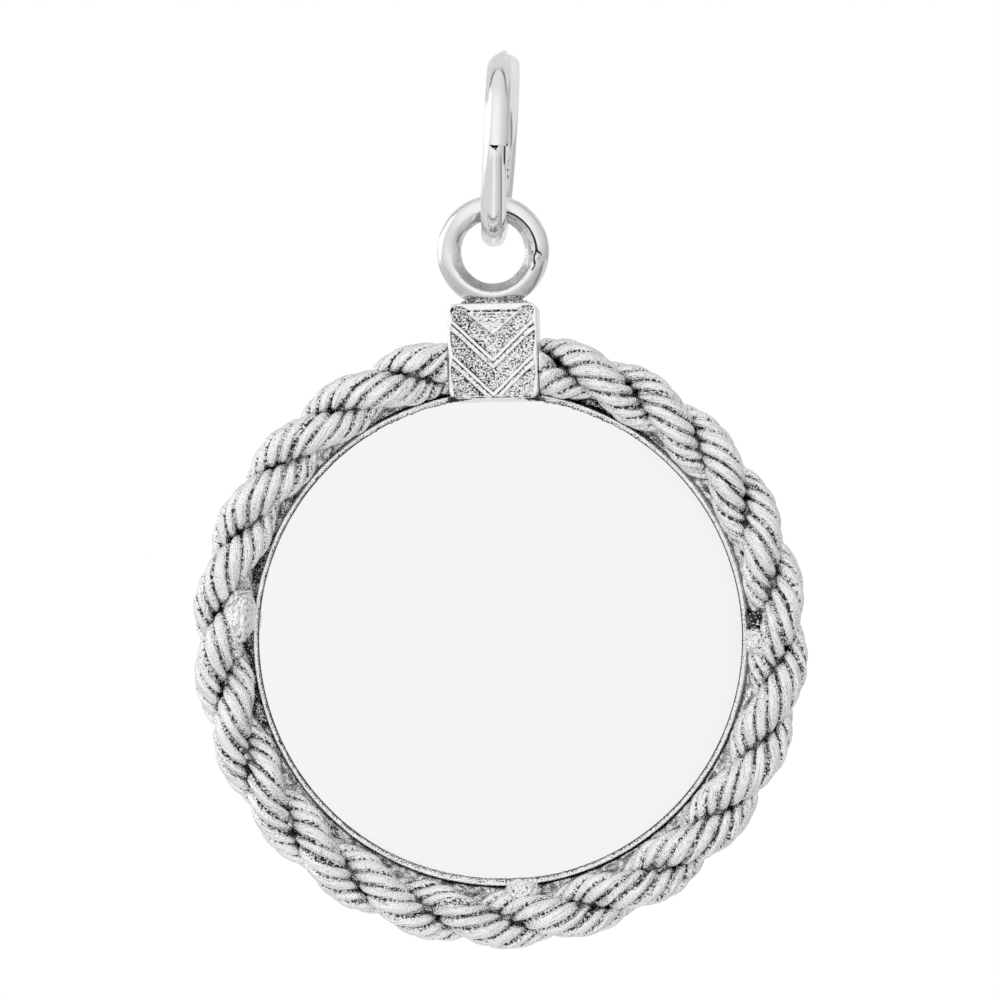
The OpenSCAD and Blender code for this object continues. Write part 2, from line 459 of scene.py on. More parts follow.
def addFloor():
    sides = tent["floorSides"]
    t = np.linspace(0, 2 * pi, sides, endpoint=False)
    ring = np.stack([np.cos(t), np.sin(t), 0 * t], axis=-1) * tent["floorRadius"]
    ring += (middleX * mm, 0, cadLow.z - tent["floorDrop"])
    mesh = bpy.data.meshes.new("floor")
    mesh.from_pydata(ring.tolist(), [], [list(range(sides))])
    material = bpy.data.materials.new("paleFloor")
    material.use_nodes = True
    tree = material.node_tree
    place = addNode(tree, "ShaderNodeTexCoord").outputs["Object"]
    cloud = noiseNode(tree, place, tent["floorClouds"], 3.0)
    paint(tree, spread(tree, cloud, *tent["floorTone"]), Roughness=tent["floorRough"])
    mesh.materials.append(material)
    floor = bpy.data.objects.new("floor", mesh)
    bpy.context.scene.collection.objects.link(floor)
    floor.visible_glossy = False  # the metal mirrors the tent all round


bpy.context.scene.view_settings.view_transform = "Standard"
addTent()
addLamp()
addFloor()
print("studio ready")


# jump ring: a wire bent round by hand, so it isn't quite flat, with its cut nearly closed

jumpRing = {
    "inside": 5.7,
    "wire": 1.0,
    "lean": 5.0,
    "cutLow": 2.7,  # degrees below the ring's middle
    "cutGap": 0.02,  # degrees
    "endEdge": 0.02,  # the broken edge of a cut end, in degrees
    "endSize": 0.998,  # and how thick the wire is there
    "notchDepth": 0.22,
    "notchLength": 0.6,
    "notch": {-180: 0, -28: 0, 16: 1, 22: 0, 180: 0},  # by angle round the wire
    # sideways bend and width of the wire, by angle from the front upwards
    "bend": {-4: 0.09, 7: 0.08, 21: 0.035, 45: -0.03, 72: -0.1, 88: -0.03, 94: -0.01, 98: 0.05, 112: 0.05,
             150: 0.01, 250: 0.0, 275: 0.04, 295: 0.1, 335: 0.09, 357: 0.05},
    "width": {-4: 1.0, 320: 1.0, 345: 0.93, 357: 0.9},
    # how much is worn off the top of the ring, from left to right
    "topWear": {-0.66: 0, -0.54: 0.1, -0.46: 0.13, -0.21: 0.105, -0.03: 0.05, 0.1: 0, 0.14: 0.02,
                0.2: 0.12, 0.32: 0.09, 0.42: 0.05, 0.56: 0},
    "wearFrom": (0.1, 0.5),  # heights over which that wear sets in
    "flat": (92, 98, 130, 172),  # a flat at the back of the ring
    "flatFacing": 130,  # by angle round the wire
    "flatHalf": 35,
    "scraped": (164, 176, 196, 212),  # a scraped strip on the back wire
    "scrapedFacing": 150,
    "scrapedEdge": (0.95, 0.99),
    "scrapedDepth": 0.012,
    "slit": (-7.4, 60),  # a dark slit beside the cut, painted as shade, along the ring and round the wire
    "slitHalf": (6, 5.5),
    "slitShade": 2.4,
    "notchShadeReach": 0.05,  # painted shade in the notch
    "notchShade": 0.3,
    "lumps": 0.006,
    "along": 420,
    "around": 64,
    "packing": 0.92,  # how much closer the rows are at the cut
}


def makeJumpRing():
    ring = jumpRing
    wire = ring["wire"] / 2
    radius = ring["inside"] / 2 + wire
    share = np.linspace(0, 1, ring["along"])
    share -= ring["packing"] * np.sin(2 * pi * share) / (2 * pi)
    degrees = ring["cutGap"] / 2 - ring["cutLow"] + share * (360 - ring["cutGap"])
    # the edges of both cut ends are broken a little
    start, end = degrees[0], degrees[-1]
    edge = ring["endEdge"]
    degrees = np.array([start, start + edge, *degrees[1:-1], end - edge, end])[:, None]
    size = np.ones_like(degrees)
    size[[0, -1]] = ring["endSize"]
    around = np.linspace(-180, 180, ring["around"], endpoint=False)[None, :]
    turn = np.radians(around)
    notch = table(ring["notch"], around) * ring["notchDepth"]
    fromEnd = np.radians(end - degrees) * radius
    angle = np.radians(degrees) - notch * (1 - smooth(fromEnd, 0, ring["notchLength"])) / radius
    chord = flatReach(turn, radians(ring["flatFacing"]), radians(ring["flatHalf"]))
    size = size * (1 - between(degrees, *ring["flat"]) * (1 - np.minimum(chord, 1)))
    lie = radius + wire * size * np.cos(turn)
    bend = table(ring["bend"], degrees) + wire * size * table(ring["width"], degrees) * np.sin(turn)
    rows = np.stack([bend, -lie * np.cos(angle), lie * np.sin(angle)], axis=-1)
    strip = smooth(np.cos(turn - radians(ring["scrapedFacing"])), *ring["scrapedEdge"])
    strip = between(degrees, *ring["scraped"]) * strip
    lump = noiseAt(rows, 0.9, seed=3) * ring["lumps"]
    lump += strip * noiseAt(rows, 0.05, seed=4) * ring["scrapedDepth"]
    rows[..., 0] += lump * np.sin(turn)
    rows[..., 1] -= lump * np.cos(turn) * np.cos(angle)
    rows[..., 2] += lump * np.cos(turn) * np.sin(angle) - ring["inside"] / 2
    lean = radians(ring["lean"])
    x, z = rows[..., 0].copy(), rows[..., 2].copy()
    rows[..., 0] = x * cos(lean) + z * sin(lean)
    rows[..., 2] = z * cos(lean) - x * sin(lean)
    rows[..., 2] -= table(ring["topWear"], rows[..., 0]) * smooth(rows[..., 2], *ring["wearFrom"])
    # dirt in the scraped strip, and painted shade in the slit and the notch
    hollow = strip * (0.25 + noiseAt(rows * (1, 1, 0.35), 0.035, seed=8))
    slitAt, slitTurn = ring["slit"]
    slitLong, slitWide = ring["slitHalf"]
    fromSlit = (degrees - slitAt + 180) % 360 - 180
    hollow += ring["slitShade"] * np.exp(-(fromSlit / slitLong) ** 4 - ((around - slitTurn) / slitWide) ** 2)
    hollow += hump(fromEnd, 0, ring["notchShadeReach"]) * (notch > 0.02) * ring["notchShade"]
    mesh = skinMesh("jumpRing", rows, hollow=np.clip(hollow, 0, 1.2), caps=True)
    addPiece("jumpRing", mesh, "polishedSilver", "jump_ring", "jump_ring")


makeJumpRing()


# eye ring: round outside, with a sloped inside face, closed with a scarf joint on the right
# places along it are clockwise from the top, and places round its wire start at its outside

eyeRing = {
    "inside": 2.5,
    "wire": 0.95,
    "belowPin": 0.69,
    "face": (104, 176),  # the sloped face, round the wire
    "faceEdge": 60,  # how sharp its edges are
    # painted shade on the sloped face, by place along the ring
    "faceShade": {0: 0.3, 22: 0.3, 34: 0.12, 42: 0.0, 72: 0.05, 84: 0.28, 105: 0.33, 120: 0.28, 135: 0.3,
                  150: 0.3, 165: 0.36, 180: 0.3, 195: 0.28, 210: 0.18, 225: 0.24, 240: 0.1, 262: 0.08,
                  285: 0.1, 315: 0.15, 340: 0.35, 360: 0.3},
    # painted shade on the outer skin, by place along the ring
    "skinShade": {0: 0, 80: 0, 100: 0.2, 120: 0.25, 150: 0.27, 180: 0.27, 210: 0.29, 225: 0.27, 240: 0.2,
                  262: 0.12, 280: 0, 360: 0},
    "skinSpan": (10, 45, 87, 90),
    "worn": (250, 270, 324, 342),  # where the edge of the sloped face is worn away
    # painted shade on the left of the ring: how dark, where along the ring, and over what length
    "leftShade": 0.22,
    "leftPlace": 290,
    "leftLength": 26,
    "seam": (19, 91),  # the scarf
    "seamOut": (-0.12, 0.0),  # distance of the scarf's ends from the wire's middle
    "seamWidth": 4.0,  # degrees round the wire
    "seamSwell": 1.2,  # and what it grows by towards the burr
    "seamDepth": 0.035,
    "seamDrop": 0.03,
    # cracks round the burr: width, and places along and round the wire
    "cracks": [(0.036, [(90.5, 90), (92.5, 81), (93.2, 74)]),
               (0.022, [(92.5, 78), (93.5, 70), (96, 64)]),
               (0.032, [(91, 91), (94, 96), (97, 100), (101, 99), (105, 96)]),
               (0.042, [(105, 95), (107.5, 90)]),
               (0.02, [(108, 89), (111, 87), (114, 89), (117, 92)])],
    "crackDepth": 0.04,
    "dirtAndShade": {"seam": 2.5, "cracks": 1.6, "nicks": 0.6, "mark": 0.8},
    "burrPlace": (98.2, 83),
    "burrSize": (3.4, 8),
    "burrHeight": 0.06,
    "mark": (22, 28, 39, 45),  # a fine line near the outside
    "markPlace": 25,
    "markWidth": 1.8,
    "lumps": 0.006,
    "ripple": 0.0015,
    "nicks": 0.01,  # on the corner of the sloped face
    "lowNicks": 0.006,  # and what they grow by on the ring's lower half
    "around": 480,
    "round": 160,
}
eyeZ = pinZ - eyeRing["belowPin"]


def toPath(x, y, path):
    # distance of each point from a path of straight lines
    nearest = np.inf
    for start, end in zip(path, path[1:]):
        way = end - start
        fromX, fromY = x - start[0], y - start[1]
        share = np.clip((fromX * way[0] + fromY * way[1]) / way.dot(way), 0, 1)
        nearest = np.minimum(nearest, np.hypot(fromX - share * way[0], fromY - share * way[1]))
    return nearest


def makeEyeRing():
    ring = eyeRing
    wire = ring["wire"] / 2
    radius = ring["inside"] / 2 + wire
    degrees = np.linspace(0, 360, ring["around"], endpoint=False)[:, None]
    around = np.linspace(-180, 180, ring["round"], endpoint=False)[None, :]
    t, turn = np.radians(degrees), np.radians(around)
    side = np.abs(around)
    # the section: a circle cut by a flat face on each inner side, worn round on the left
    faceFrom, faceTo = ring["face"]
    flat = flatReach(np.radians(side), radians((faceFrom + faceTo) / 2), radians(faceTo - faceFrom) / 2)
    size = wire * (1 + flat ** -ring["faceEdge"]) ** (-1 / ring["faceEdge"]) + 0 * t
    worn = between(degrees, *ring["worn"])
    size = size + (wire - size) * worn
    # the scarf joint, a groove with a step down on its inner side
    seamFrom, seamTo = ring["seam"]
    outFrom, outTo = ring["seamOut"]
    out = outFrom + (outTo - outFrom) * np.clip((degrees - seamFrom) / (seamTo - seamFrom), 0, 1)
    live = between(degrees, seamFrom - 4, seamFrom, seamTo, seamTo + 2)
    inward = around - np.degrees(np.arccos(out / wire))
    groove = hump(inward, 0, ring["seamWidth"] + ring["seamSwell"] * smooth(degrees, 60, 92)) * live
    size = size - groove * ring["seamDepth"] - ring["seamDrop"] * live * between(inward, 0, 2, 8, 40)
    # the burr where the scarf ends, with cracks round it
    (burrAt, burrTurn), (burrLong, burrWide) = ring["burrPlace"], ring["burrSize"]
    burr = hump(degrees, burrAt, burrLong) * hump(around, burrTurn, burrWide)
    crack = 0 * size
    for width, path in ring["cracks"]:
        away = toPath(t * radius, turn * wire, np.radians(path) * (radius, wire))
        crack = np.maximum(crack, hump(away, 0, width))
    size = size + burr * ring["burrHeight"] - crack * ring["crackDepth"]
    # lumps all over, and nicks on the corner that isn't worn
    rows = lathe(radius + size * np.cos(turn), -size * np.sin(turn), t)
    nicks = noiseAt(rows, 0.06, seed=7)
    corner = hump(side, faceFrom, 6) * (1 - worn)
    size = size + noiseAt(rows, 0.7, seed=5) * ring["lumps"] + noiseAt(rows, 0.12, seed=6) * ring["ripple"]
    size += corner * nicks * (ring["nicks"] + ring["lowNicks"] * between(degrees, 90, 110, 250, 270))
    rows = lathe(radius + size * np.cos(turn), -size * np.sin(turn), t)
    rows += (pinX, 0, eyeZ)
    # painted shade on the sloped face, on the left and on the outer skin, lifted off the burr
    shade = table(ring["faceShade"], degrees) * smooth(side, faceFrom - 1, faceFrom + 5 + worn * 25)
    left = hump(degrees, ring["leftPlace"], ring["leftLength"]) * smooth(side, 35, 92) * ring["leftShade"]
    skin = table(ring["skinShade"], degrees) * between(around, *ring["skinSpan"])
    shade = np.maximum(np.maximum(shade, left), skin) * (1 - burr)
    # dirt in the scarf, the cracks, the nicks and the fine line
    dirtAndShade = ring["dirtAndShade"]
    mark = between(degrees, *ring["mark"]) * hump(around, ring["markPlace"], ring["markWidth"])
    hollow = groove * dirtAndShade["seam"] + crack * dirtAndShade["cracks"] + mark * dirtAndShade["mark"]
    hollow += corner * smooth(-nicks, 0.2, 0.6) * dirtAndShade["nicks"]
    mesh = skinMesh("eyeRing", rows, hollow=np.clip(hollow, 0, 1), shade=shade, closeAlong=True)
    addPiece("eyeRing", mesh, "eyeSilver", "pendant", "setting")


makeEyeRing()


# tab: a block with chevrons in relief on its front

tab = {
    "width": 3.48,
    "height": 3.68,
    "belowEye": 2.08,  # its top, below the middle of the eye ring
    "corner": 0.3,
    "edge": 0.1,
    "field": 0.15,  # depth of the stippled field
    "topRim": 0.28,
    "rims": {0: 0.28, 0.95: 0.28, 1.2: 0.12, 2: 0.1},  # thickness of the top rim, from the middle out
    "cornerRim": 0.1,  # and its thickness round the upper corners
    "sideRim": 0.09,
    "sideSwell": [(0.6, 0.25), (2.0, 0.35)],  # where the side rims are thicker, and over what length
    "footRim": 0.07,
    "footCorner": 0.75,  # rounding of the crest inside the lower corners
    "triangle": (1.16, 1.26),
    "slope": 0.97,
    "bands": [2.14, 3.48],  # depth of each band's upper edge at the middle
    "upperCrest": 0.165,
    "gap": 0.045,
    "lowerCrest": 0.235,
    "stipple": 0.06,
    "crack": (1.5, 0.93),  # across, and down from the top
    "crackSlope": 0.25,
    "crackHalf": (0.1, 0.025),
    "backIn": 0.03,  # how far the back lies in front of the plate's back
    "backEdge": 0.08,
    "backSize": 0.97,
    "step": 0.0165,
}
tabTop = eyeZ - tab["belowEye"]


def tabNoise(x, depth, size, seed, squeeze=1.0):
    return noiseAt(np.stack([x * squeeze, depth, 0 * x], axis=-1), size, seed)


def pastCorner(x, z, fromX, fromZ):
    # how far each point lies past the middle of a round corner: across, along, and straight if it is in it
    cx, cz = np.maximum(x - fromX, 0), np.maximum(z - fromZ, 0)
    return cx, cz, np.hypot(cx, cz) * (cx > 0) * (cz > 0)


def tabRelief(x, depth):
    # height of the front above its field, from 0 to 1, and how dark it is, with dirt and with painted shade
    half, tall, topRim, footRim = tab["width"] / 2, tab["height"], tab["topRim"], tab["footRim"]
    across = np.abs(x)
    fine = tabNoise(x, depth, tab["stipple"], 11, squeeze=0.65)
    coarse = tabNoise(x, depth, 0.17, 12)
    broad = tabNoise(x, depth, 0.7, 15)
    height = 0.16 + 0.2 * fine + 0.08 * coarse
    dirtAndShade = 0.46 - 0.75 * fine - 0.25 * coarse - 0.2 * broad - 0.16 * smooth(x, -half, half * 0.6)
    wander = 0.02 * tabNoise(x, 0 * x, 0.3, 13)
    ends = smooth(across, half - 0.5, half)
    crestEnd = tab["upperCrest"] + 0.02 * ends
    start = crestEnd + tab["gap"]
    end = start + tab["lowerCrest"] + 0.05 * ends
    for band in tab["bands"]:
        # two crests with a fine broken line between them, wider towards the sides
        below = depth - (band - tab["slope"] * across) + wander + 0.008 * coarse
        upper = between(below, -0.03, 0.01, crestEnd - 0.01, crestEnd + 0.02)
        lower = between(below, start - 0.02, start + 0.01, end - 0.03, end + 0.03)
        edge = hump(below, end - 0.05, 0.04)
        height = np.maximum(height, upper * (1 - 0.25 * ((below - crestEnd / 2) / crestEnd) ** 2))
        height = np.maximum(height, lower * (0.78 + 0.14 * edge + 0.08 * fine))
        line = between(below, crestEnd - 0.01, crestEnd + 0.01, start, start + 0.02)
        line = line * smooth(tabNoise(x, depth, 0.12, 16), -0.4, 0.2)
        height -= line * 0.2
        dirtAndShade = dirtAndShade * (1 - np.maximum(upper, lower)) - 0.32 * upper
        # painted shade in the fine line between the crests, just below each band and just above its upper
        # crest
        dirtAndShade = dirtAndShade + lower * (0.14 - 0.3 * fine - 0.4 * edge) + line * 0.6
        dirtAndShade = dirtAndShade + (hump(below, end + 0.05, 0.05) + hump(below, -0.06, 0.035)) * 0.2
    # the raised triangle, with a crest along its sides, marks across it and a painted shadow just outside
    # its sides
    wide, deep = tab["triangle"]
    reach = deep * (1 - across / wide) + topRim * across / wide - depth
    inside = smooth(reach, -0.02, 0.03) * (across < wide)
    scratches = tabNoise(x, depth, 0.06, 14, squeeze=0.3)
    crest = hump(reach, 0.08, 0.07) * np.where(x < 0, 1.0, 0.7) * (depth > topRim)
    shadow = hump(reach, -0.09, 0.07) * (depth > topRim)
    height = height * (1 - inside) + inside * np.maximum(0.68 + 0.1 * fine + 0.14 * scratches, crest)
    dirtAndShade = dirtAndShade * (1 - inside) + inside * (0.26 - 0.75 * scratches - 0.2 * fine) * (1 - crest)
    dirtAndShade = dirtAndShade * (1 - 0.8 * shadow) + shadow * 0.42 - crest * inside * 0.32
    # crests round the lower corners
    foot = tab["footCorner"]
    reach = pastCorner(across, depth, half - tab["sideRim"] - foot, tall - footRim - foot)[2]
    crest = hump(reach, foot - 0.02, 0.035)
    height = np.maximum(height, crest * 0.9)
    dirtAndShade = dirtAndShade * (1 - crest) - 0.2 * crest
    # rims, with the top one carried round the upper corners
    thick = table(tab["rims"], across) + 0.02 * tabNoise(x, 0 * x, 0.2, 17)
    sideRim = tab["sideRim"] + 0.1 * smooth(depth, 2.9, 3.5)
    for middle, length in tab["sideSwell"]:
        sideRim = sideRim + 0.09 * hump(depth, middle, length)
    corner, cornerRim = tab["corner"], tab["cornerRim"]
    reach = pastCorner(across, -depth, half - corner, -corner)[2]
    rims = [1 - smooth(depth, thick - 0.03, thick + 0.01),
            smooth(across, half - sideRim - 0.03, half - sideRim),
            smooth(depth, tall - footRim - 0.03, tall - footRim),
            smooth(reach, corner - cornerRim - 0.03, corner - cornerRim)]
    rim = np.maximum.reduce(rims)
    height = np.maximum(height * (1 - rim), rim)
    dirtAndShade = dirtAndShade * (1 - rim) - 0.3 * rim
    # a crack across the end of a crest
    crackX, crackDepth = tab["crack"]
    crackLong, crackWide = tab["crackHalf"]
    crackLine = crackDepth - tab["crackSlope"] * (x - crackX)
    crack = hump(x, crackX, crackLong) * hump(depth, crackLine, crackWide)
    # a broken dark line under the top rim, pits along the foot, and painted shade along the very foot of
    # the tab where it meets the lip
    line = hump(depth, topRim + 0.03, 0.025) * (across < 1.0) * smooth(coarse + 0.6 * fine, -0.2, 0.15)
    pits = smooth(depth, tall - 0.12, tall - 0.06) * smooth(coarse + fine, 0.1, 0.5)
    under = smooth(depth, tall - 0.06, tall - 0.03)
    height -= crack * 0.4 + line * 0.35 + pits * 0.3
    dirtAndShade = dirtAndShade + crack * 1.5 + line * 1.3 + pits * 0.9 + under * (1.0 + 1.2 * coarse)
    return height, np.clip(dirtAndShade, -0.4, 1.2)


def makeTab():
    half, tall, corner, edge = tab["width"] / 2, tab["height"] / 2, tab["corner"], tab["edge"]
    x = np.linspace(-half, half, int(tab["width"] / tab["step"]) + 1)[None, :]
    z = np.linspace(tall, -tall, int(tab["height"] / tab["step"]) + 1)[:, None]
    x, z = x + 0 * z, z + 0 * x
    # the square corners of the grid are drawn in to round ones
    cx, cz, reach = pastCorner(np.abs(x), np.abs(z), half - corner, tall - corner)
    pull = np.where(reach > 0, np.maximum(cx, cz) / np.maximum(reach, 1e-9), 1.0)
    x = np.sign(x) * (np.minimum(np.abs(x), half - corner) + cx * pull)
    z = np.sign(z) * (np.minimum(np.abs(z), tall - corner) + cz * pull)
    reach = pastCorner(np.abs(x), np.abs(z), half - corner, tall - corner)[2]
    toEdge = np.minimum(half - np.abs(x), tall - np.abs(z))
    toEdge = np.maximum(np.minimum(toEdge, corner - reach), 0)
    height, hollow = tabRelief(x, tall - z)
    fall = edge - np.sqrt(np.maximum(edge ** 2 - np.maximum(edge - toEdge, 0) ** 2, 0))
    front = tabFront + (1 - height) * tab["field"] * smooth(toEdge, 0.0, 0.06) + fall
    middle = np.array([middleX, 0, tabTop - tall])
    face = np.stack([x, front, z], axis=-1) + middle
    index = np.arange(x.size).reshape(x.shape)
    # the sides go back in steps and end in a flat back with a soft edge
    back = plateBack - tab["backIn"]
    steps = [(tabFront + edge + 0.05, 1), (tabFront + 0.6, 1), (0, 1), (back - tab["backEdge"], 1),
             (back, tab["backSize"])]
    loop = np.concatenate([index[0, :-1], index[:-1, -1], index[-1, :0:-1], index[:0:-1, 0]])
    points, loops = [face.reshape(-1, 3)], [loop]
    for depth, size in steps:
        points.append((points[0][loop] - middle) * (size, 0, size) + middle + (0, depth, 0))
        loops.append(np.arange(len(loop)) + x.size + len(loop) * (len(loops) - 1))
    loops = np.array(loops)
    faces = gridFaces(index) + gridFaces(np.hstack([loops, loops[:, :1]])) + [loops[-1].tolist()]
    hollow = np.concatenate([hollow.reshape(-1), np.zeros(len(loop) * len(steps))])
    mesh = newMesh("chevronTab", np.concatenate(points), faces, hollow=hollow)
    addPiece("chevronTab", mesh, "castSilver", "pendant", "setting")


makeTab()


# plate and bezel: a back plate with a thin wall round the disc, pressed over its edge
# places along it are clockwise from the top

bezel = {
    "inside": 9.5,
    "wall": 0.17,
    "front": -0.24,
    "soft": 0.035,  # rounding of the lip
    # how far the lip is pressed in over the disc's edge
    "lap": {-180: 0.08, -168: 0.07, -150: 0.02, -120: -0.01, -60: -0.01, -38: 0.0, -20: 0.05, 12: 0.07,
            25: 0.05, 42: 0.0, 60: -0.01, 130: -0.01, 150: 0.01, 168: 0.02, 180: 0.08},
    # how dark the lip is, from its inner edge to its outer: painted shade by the inner edge, then clean
    "lipDirtAndShade": {0: 0.5, 0.05: 0.42, 0.08: -0.1, 0.13: -0.3, 0.17: 0.0},
    "lipTop": 1.5,  # more painted shade under the tab
    # how dark the painted shade line at its inner edge is
    "lipLine": {-180: 1.0, -110: 1.0, -70: 0.35, -50: 0.9, 0: 1.0, 20: 1.4, 45: 0.4, 60: 0.15, 100: 0.2,
                122: 0.8, 150: 1.0, 180: 1.0},
    "lipWaves": 0.02,
    "lapWaves": 0.012,
    "plateFront": 0.8,
    "plateRadius": 11.2,
    "plateEdge": 0.12,
    "floor": 0.8,
    "ragged": (-60, -52, 34, 42),  # where the lip's inner edge is ragged
    "raggedFoot": 0.35,  # and how ragged it is at the foot
    "jag": 0.07,
    "flangeGrain": 0.05,
    "flangeEnd": (10.9, 11.0),
    # how dark the flange is, by place: dirt, and painted shade in the room between the wall and the rope
    "flangeDirtAndShade": {-180: 0.0, -150: 0.05, -120: 0.15, -98: 0.8, -70: 0.7, -45: 0.0, -25: 0.2, 0: 0.9,
                   28: 0.6, 48: 0.0, 75: -0.1, 95: 0.0, 120: -0.1, 150: 0.05, 180: 0.0},
    # how high rough metal fills the room between the wall and the rope
    "fill": {-180: 0.75, -150: 0.75, -120: 0.7, -98: 0.15, -70: 0.15, -45: 0.7, -25: 0.6, 0: 0.1, 28: 0.4,
             48: 0.9, 75: 1.0, 95: 0.95, 120: 0.95, 150: 0.8, 180: 0.75},
    "fillEnd": (10.0, 10.7),
    # how black the painted shade line is at the foot of the wall
    "footShade": {-180: 1.0, -150: 0.5, -90: 0.4, -70: 0.1, -35: 0.3, -20: 0.9, 25: 1.0, 42: 0.4, 55: 0.1,
                 95: 0.1, 115: 0.5, 150: 0.9, 180: 1.0},
    "pit": (85.3, 10.06),  # a dark spot painted as the shade of a deep hole above the solder on the right
    "pitHalf": (0.33, 0.36),
    "around": 1080,
}


def bezelProfile():
    # distance from the middle and depth, from the floor under the disc over the wall to the plate's back
    inside, outside = bezel["inside"], bezel["inside"] + bezel["wall"]
    front, flange, floor, soft = bezel["front"], bezel["plateFront"], bezel["floor"], bezel["soft"]
    return ([(r, floor) for r in (0.001, 4, inside - 0.05)]
            + [(inside, y) for y in (floor - 0.05, 0.3, 0.0, -0.045)]
            + [(inside + 0.001, y) for y in (-0.06, -0.09, front + soft)]
            + [(inside + 0.012, front + 0.012), (inside + soft, front), (inside + 0.065, front)]
            + [(outside - 0.06, front), (outside - soft, front), (outside - 0.012, front + 0.012)]
            + [(outside, y) for y in (front + soft, 0.0, 0.3, 0.6)]
            + [(outside + 0.02, flange - 0.06), (outside + 0.07, flange)]
            + [(r, flange) for r in np.arange(outside + 0.12, bezel["plateRadius"] - 0.1, 0.05)]
            + roundRim(bezel["plateRadius"], flange, plateBack, bezel["plateEdge"], (0, 22, 45, 67, 90))
            + [(r, plateBack) for r in (10.6, 9.6, 8, 6, 3, 0.001)])


def makeBezel():
    inside, outside = bezel["inside"], bezel["inside"] + bezel["wall"]
    r, y = np.array(bezelProfile()).T[..., None]
    degrees = np.linspace(-180, 180, bezel["around"], endpoint=False)[None, :]
    t = np.radians(degrees)
    spot = lathe(r, y, t)
    circle = np.stack([np.sin(t) * inside, np.cos(t) * inside, 0 * t], axis=-1)
    grain = noiseAt(spot, 0.09, seed=21)
    onFlange = between(r, outside, outside + 0.1, *bezel["flangeEnd"]) * (y < plateBack - 0.4)
    fill = table(bezel["fill"], degrees) * (1 - smooth(r, *bezel["fillEnd"]))
    fill = np.maximum(fill * (1 + 0.5 * noiseAt(spot, 0.4, seed=27)), 0)
    deep = y + onFlange * (grain * bezel["flangeGrain"] * (1 + fill) - fill) + 0 * t
    # the lip is worn and rises and falls a little
    onLip = (y < -0.05) * (r < outside + 0.01)
    deep += onLip * smooth(-y, 0.1, 0.24) * noiseAt(circle, 0.7, seed=22) * bezel["lipWaves"]
    ragged = between(degrees, *bezel["ragged"]) + bezel["raggedFoot"] * smooth(np.abs(degrees), 150, 165)
    tooth = 0.7 * noiseAt(circle, 0.16, seed=23) + 0.4 * noiseAt(circle, 0.06, seed=24)
    lap = table(bezel["lap"], degrees) + ragged * bezel["jag"] * tooth
    innerLip = onLip * (r < inside + 0.05)
    wide = r - innerLip * (lap + bezel["lapWaves"] * noiseAt(circle, 0.5, seed=26))
    rows = lathe(wide, deep, t) + (middleX, 0, discZ)
    # the flange is dirty in patches, with painted shade near the wall; the foot of the wall has a line of
    # painted shade, and a painted dark spot stands for a deep hole
    dirtAndShade = table(bezel["flangeDirtAndShade"], degrees) + 0.45 * noiseAt(spot, 0.5, seed=25) - 0.5 * grain
    foot = hump(r, outside + 0.02, 0.06) * (y > 0.2) * table(bezel["footShade"], degrees)
    pitAngle, pitRadius = bezel["pit"]
    pitLong, pitWide = bezel["pitHalf"]
    along = (degrees - pitAngle) * radians(pitRadius)
    pit = np.exp(-((along / pitLong) ** 2 + ((r - pitRadius) / pitWide) ** 2) ** 2)
    hollow = np.maximum(onFlange * dirtAndShade, np.maximum(foot * 1.1, pit * onFlange * 1.6))
    # the lip is dull, with painted shade under the tab, and its inner edge and inner wall keep a fine line
    # of painted shade, darker where it is ragged
    line = np.where(r - inside < 0.07, table(bezel["lipLine"], degrees), 1.0)
    dullAndShade = table(bezel["lipDirtAndShade"], r - inside) * line + 0.25 * noiseAt(circle, 0.35, seed=28)
    dullAndShade = dullAndShade + bezel["lipTop"] * (1 - smooth(np.abs(degrees), 9, 13)) * (0.8 + tooth)
    hollow = hollow + onLip * dullAndShade + innerLip * smooth(y, -0.2, -0.1) * (0.25 + 0.6 * ragged) * line
    mesh = skinMesh("bezelPlate", rows, hollow=np.clip(hollow, 0, 1.4), caps=True)
    addPiece("bezelPlate", mesh, "castSilver", "pendant", "setting")


makeBezel()


# solder: the rough seat of the eye ring, and drops that hold the rope

solder = [
    # name, clockwise from the top, distance out, depth, half sizes (along, out, deep), dirt and painted
    # shade, specks, seed
    ("solderRight", 91.4, 10.16, -0.65, (0.6, 0.62, 0.95), -0.3, 1.0, 31),
    # a dark lump, painted as the shade of the deep hole above the solder
    ("solderHoleShade", 86.7, 10.08, -0.55, (0.38, 0.37, 0.62), 1.5, -1.6, 38),
    ("solderLeft", 276.0, 10.16, -0.65, (1.15, 0.56, 0.92), -0.35, 1.0, 32),
    ("solderLeftLow", 268.5, 10.3, -0.5, (0.42, 0.3, 0.72), 0.0, 1.0, 33),
    ("solderFoot", 175.6, 9.9, -0.35, (0.7, 0.44, 0.75), -0.4, 1.0, 34),
]
seat = {
    "half": (1.36, 0.95, 0.22),
    "above": 0.03,  # the tab's top
    "ahead": 0.1,  # of the eye ring's middle
    "grainSize": 0.08,
    "deepGrain": 0.05,
    "tallGrain": 0.04,
}


def lumpRows(sizes, seed, rough, count, spots):
    polar = np.linspace(0, pi, count)[:, None]
    turn = np.linspace(0, 2 * pi, spots, endpoint=False)[None, :]
    ball = [np.sin(polar) * np.cos(turn), np.cos(polar) + 0 * turn, np.sin(polar) * np.sin(turn)]
    ball = np.stack(ball, axis=-1)
    swell = 1 + rough * (noiseAt(ball, 0.7, seed) + 0.45 * noiseAt(ball, 0.22, seed + 0.5))
    swell += rough * 0.3 * noiseAt(ball, 0.1, seed + 0.8)
    return ball * swell[..., None] * np.array(sizes)


